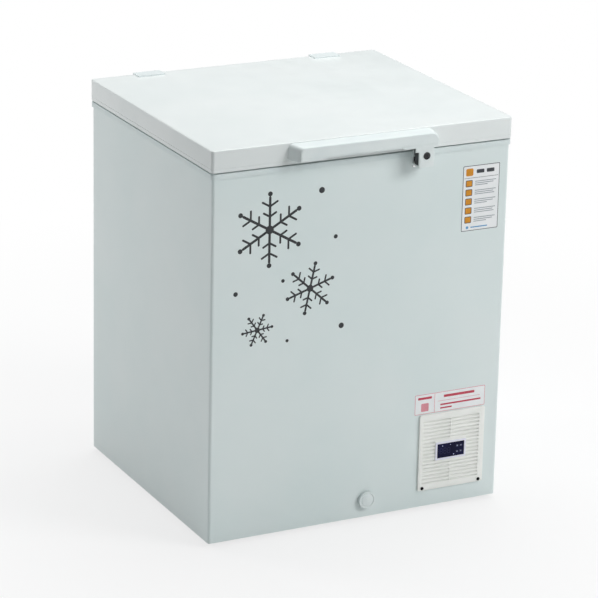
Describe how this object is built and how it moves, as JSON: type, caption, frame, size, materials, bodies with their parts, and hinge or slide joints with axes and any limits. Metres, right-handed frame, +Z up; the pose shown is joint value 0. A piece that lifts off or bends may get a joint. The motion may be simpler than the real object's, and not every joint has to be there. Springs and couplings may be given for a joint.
{
  "type": "chest ultra low temperature freezer",
  "caption": "Upright-proportioned chest freezer for laboratory samples, with a hinged lid, front handle with a key lock, louvred controller grille and a drain.",
  "frame": {"origin": "on the floor under the middle of the object", "axes": "+Z up, the front with the handle and grille faces -Y, +X to the viewer's right"},
  "size_m": [0.686, 0.6774, 0.8528],
  "materials": {
    "painted_white": "gloss",
    "rear_steel": "satin",
    "zinc_steel": "satin",
    "screw_steel": "satin",
    "dark_screw": "satin",
    "foot_rubber": "matte",
    "black_rubber": "matte",
    "grey_rubber": "matte",
    "tank_aluminium": "satin",
    "fin_aluminium": "satin",
    "copper": "satin",
    "white_plastic": "gloss",
    "grille_plastic": "satin",
    "dark_plastic": "satin",
    "black_plastic": "satin",
    "fan_plastic": "satin",
    "key_plastic": "gloss",
    "display_glass": "gloss",
    "board_green": "satin",
    "foam": "matte",
    "motor_steel": "satin",
    "black_steel": "satin",
    "lock_black": "gloss",
    "bright_steel": "polished",
    "spring_steel": "satin",
    "hinge_steel": "gloss"
  },
  "bodies": {
    "cabinet": {"outer_wrap": "painted_white", "rear_panel": "rear_steel", "rear_screws": "screw_steel", "base_pan": "zinc_steel", "feet": "foot_rubber", "liner": "tank_aluminium", "evaporator_coil": "copper", "drain_tube": "white_plastic", "capillary_tube": "copper", "insulation": "foam", "top_collar": "white_plastic", "machine_bulkhead": "zinc_steel", "condenser_coil": "copper", "condenser_fins": "fin_aluminium", "fan_shroud": "zinc_steel", "fan_motor": "motor_steel", "compressor_base": "black_steel", "compressor_shell": "black_steel", "compressor_grommets": "black_rubber", "compressor_bolts": "screw_steel", "terminal_cover": "black_plastic", "discharge_line": "copper", "filter_drier": "copper", "suction_line": "copper", "front_grille": "grille_plastic", "grille_screws": "dark_screw", "controller_housing": "white_plastic", "display_window": "display_glass", "controller_board": "board_green", "cord_gland": "black_plastic", "temperature_probe": "bright_steel", "probe_clip": "white_plastic", "lock_striker": "bright_steel", "striker_screws": "screw_steel", "hinge_body_left": "hinge_steel", "hinge_body_right": "hinge_steel", "hinge_pins": "bright_steel"},
    "lid": {"lid_shell": "painted_white", "lid_foam": "foam", "lid_inner_panel": "white_plastic", "lid_gasket": "grey_rubber", "handle": "white_plastic", "handle_screws": "screw_steel", "lock_case": "dark_plastic", "hinge_arm_left": "hinge_steel", "hinge_arm_right": "hinge_steel", "hinge_arm_screws": "screw_steel"},
    "lock": {"lock_cylinder": "lock_black", "lock_cam": "bright_steel"},
    "fan": {"fan_blade": "fan_plastic"},
    "drain_cap": {"drain_cap": "white_plastic"},
    "drain_plug": {"drain_plug": "grey_rubber"},
    "plunger_left": {"hinge_plunger_left": "white_plastic", "hinge_spring_left": "spring_steel"},
    "plunger_right": {"hinge_plunger_right": "white_plastic", "hinge_spring_right": "spring_steel"},
    "key_set": {"key_set": "key_plastic"},
    "key_up": {"key_up": "key_plastic"},
    "key_mute": {"key_mute": "key_plastic"},
    "key_down": {"key_down": "key_plastic"}
  },
  "joints": [
    {"name": "lid_hinge", "type": "hinge", "parent": "cabinet", "child": "lid", "pos_m": [0, 0.32, 0.812], "axis": [-1, 0, 0], "range_deg": [0, 82]},
    {"name": "lock_turn", "type": "hinge", "parent": "lid", "child": "lock", "pos_m": [0.124, -0.3375, 0.7985], "axis": [0, -1, 0], "range_deg": [0, 90]},
    {"name": "fan_spin", "type": "hinge", "parent": "cabinet", "child": "fan", "pos_m": [0.2321, -0.1777, 0.1192], "axis": [0, -1, 0], "continuous": true},
    {"name": "drain_cap_pull", "type": "slide", "parent": "cabinet", "child": "drain_cap", "axis": [0, -1, 0], "range_m": [0, 0.04]},
    {"name": "drain_plug_lift", "type": "slide", "parent": "cabinet", "child": "drain_plug", "axis": [0, 0, 1], "range_m": [0, 0.06]},
    {"name": "plunger_left_slide", "type": "slide", "parent": "cabinet", "child": "plunger_left", "axis": [0, 0, 1], "range_m": [0, 0.00656], "deforming": ["hinge_spring_left"]},
    {"name": "plunger_right_slide", "type": "slide", "parent": "cabinet", "child": "plunger_right", "axis": [0, 0, 1], "range_m": [0, 0.00656], "deforming": ["hinge_spring_right"]},
    {"name": "key_set_press", "type": "slide", "parent": "cabinet", "child": "key_set", "axis": [0, 1, 0], "range_m": [0, 0.0008], "stiffness_N_per_m": 300},
    {"name": "key_up_press", "type": "slide", "parent": "cabinet", "child": "key_up", "axis": [0, 1, 0], "range_m": [0, 0.0008], "stiffness_N_per_m": 300},
    {"name": "key_mute_press", "type": "slide", "parent": "cabinet", "child": "key_mute", "axis": [0, 1, 0], "range_m": [0, 0.0008], "stiffness_N_per_m": 300},
    {"name": "key_down_press", "type": "slide", "parent": "cabinet", "child": "key_down", "axis": [0, 1, 0], "range_m": [0, 0.0008], "stiffness_N_per_m": 300}
  ],
  "couplings": [
    {"joint": "plunger_left_slide", "follows": "lid_hinge", "m_per_rad": 0.0045841},
    {"joint": "plunger_right_slide", "follows": "lid_hinge", "m_per_rad": 0.0045841}
  ]
}
